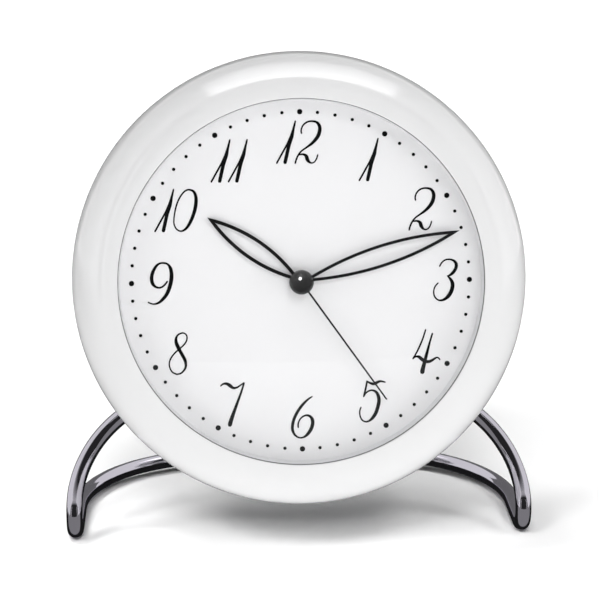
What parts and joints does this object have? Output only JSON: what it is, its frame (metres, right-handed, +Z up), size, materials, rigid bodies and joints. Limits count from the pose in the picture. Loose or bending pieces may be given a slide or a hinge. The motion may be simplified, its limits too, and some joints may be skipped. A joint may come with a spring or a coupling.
{
  "type": "table clock",
  "caption": "Round analogue table clock: glossy case ring, numbered dial under a domed lens, leaf hands, seconds hand, quartz movement and a bent round-rod stand.",
  "frame": {"origin": "on the floor under the middle of the outline of the clock as it stands", "axes": "+Z up, the dial faces -Y and leans back, +X to the right of someone who reads the dial"},
  "size_m": [0.116, 0.0744, 0.1208],
  "materials": {
    "glossy_white": "high gloss white lacquered case",
    "clear_lens": "clear polished lens",
    "dial_white": "fine matt off-white dial",
    "white_moulding": "satin white moulding",
    "print_black": "matt black print",
    "hand_black": "satin black lacquer",
    "ball_black": "high gloss black",
    "bright_rod": "polished bright rod",
    "screw_steel": "zinc plated steel",
    "foot_rubber": "matt black rubber",
    "housing_black": "fine grained black moulding",
    "knob_black": "satin black moulding",
    "plate_resin": "pale natural resin",
    "gear_resin": "pale acetal resin",
    "wheel_brass": "turned brass",
    "motor_iron": "stamped soft iron",
    "magnet_grey": "sintered magnet",
    "coil_copper": "enamelled copper wire",
    "board_green": "solder masked board",
    "chip_black": "moulded package",
    "crystal_can": "drawn metal can",
    "cell_wrap": "plain dark sleeve",
    "contact_metal": "nickel plated spring steel"
  },
  "bodies": {
    "clock": {"case_shell": "glossy_white", "front_lens": "clear_lens", "lens_spacer_ring": "white_moulding", "dial_plate": "dial_white", "dial_numerals": "print_black", "hour_dots": "print_black", "minute_dots": "print_black", "dial_chassis": "white_moulding", "chassis_screws": "screw_steel", "rear_cover": "white_moulding", "rear_cover_screws": "screw_steel", "stand_rod": "bright_rod", "rod_clamp_screws": "screw_steel", "rear_rubber_foot": "foot_rubber", "movement_front": "housing_black", "movement_back": "housing_black", "middle_plate": "plate_resin", "train_bridge": "plate_resin", "bridge_screws": "screw_steel", "movement_screws": "screw_steel", "movement_mount_screws": "screw_steel", "stator": "motor_iron", "coil_core": "motor_iron", "coil_bobbin": "gear_resin", "coil_winding": "coil_copper", "circuit_board": "board_green", "timing_chip": "chip_black", "quartz_crystal": "crystal_can", "battery": "cell_wrap", "positive_contact": "contact_metal", "negative_contact": "contact_metal"},
    "seconds": {"second_hand": "hand_black", "centre_ball": "ball_black", "second_wheel": "gear_resin"},
    "third": {"third_wheel": "gear_resin"},
    "centre": {"centre_wheel": "wheel_brass"},
    "intermediate": {"intermediate_wheel": "gear_resin"},
    "rotor": {"rotor_pinion": "gear_resin", "rotor_magnet": "magnet_grey"},
    "minutes": {"minute_hand": "hand_black", "cannon_pinion": "wheel_brass"},
    "hours": {"hour_hand": "hand_black", "hour_wheel": "gear_resin"},
    "motion": {"motion_wheel": "gear_resin"},
    "knob": {"setting_knob": "knob_black"},
    "battery_cover": {"battery_cover": "housing_black"}
  },
  "joints": [
    {"name": "second_spin", "type": "hinge", "parent": "clock", "child": "seconds", "pos_m": [0, -0.01769, 0.06645], "axis": [0, 0.9848, -0.1736], "continuous": true},
    {"name": "minute_spin", "type": "hinge", "parent": "clock", "child": "minutes", "pos_m": [0, -0.01769, 0.06645], "axis": [0, 0.9848, -0.1736], "continuous": true},
    {"name": "hour_spin", "type": "hinge", "parent": "clock", "child": "hours", "pos_m": [0, -0.01769, 0.06645], "axis": [0, 0.9848, -0.1736], "continuous": true},
    {"name": "centre_spin", "type": "hinge", "parent": "clock", "child": "centre", "pos_m": [0, -0.01769, 0.06645], "axis": [0, 0.9848, -0.1736], "continuous": true},
    {"name": "intermediate_spin", "type": "hinge", "parent": "clock", "child": "intermediate", "pos_m": [0.00432, -0.01639, 0.07382], "axis": [0, 0.9848, -0.1736], "continuous": true},
    {"name": "rotor_spin", "type": "hinge", "parent": "clock", "child": "rotor", "pos_m": [0.01169, -0.01593, 0.07646], "axis": [0, 0.9848, -0.1736], "continuous": true},
    {"name": "third_spin", "type": "hinge", "parent": "clock", "child": "third", "pos_m": [-0.00935, -0.01675, 0.07176], "axis": [0, 0.9848, -0.1736], "continuous": true},
    {"name": "motion_spin", "type": "hinge", "parent": "clock", "child": "motion", "pos_m": [0.01123, -0.01735, 0.0684], "axis": [0, 0.9848, -0.1736], "continuous": true},
    {"name": "knob_spin", "type": "hinge", "parent": "clock", "child": "knob", "pos_m": [0.02194, -0.01802, 0.06456], "axis": [0, 0.9848, -0.1736], "continuous": true},
    {"name": "battery_cover_slide", "type": "slide", "parent": "clock", "child": "battery_cover", "axis": [0, 0.9848, -0.1736], "range_m": [0, 0.02]}
  ],
  "couplings": [
    {"joint": "intermediate_spin", "follows": "second_spin", "ratio": -5},
    {"joint": "rotor_spin", "follows": "second_spin", "ratio": 30},
    {"joint": "third_spin", "follows": "second_spin", "ratio": -0.125},
    {"joint": "centre_spin", "follows": "second_spin", "ratio": 0.016667},
    {"joint": "motion_spin", "follows": "minute_spin", "ratio": -0.33333},
    {"joint": "hour_spin", "follows": "minute_spin", "ratio": 0.083333},
    {"joint": "knob_spin", "follows": "minute_spin", "ratio": 1}
  ]
}
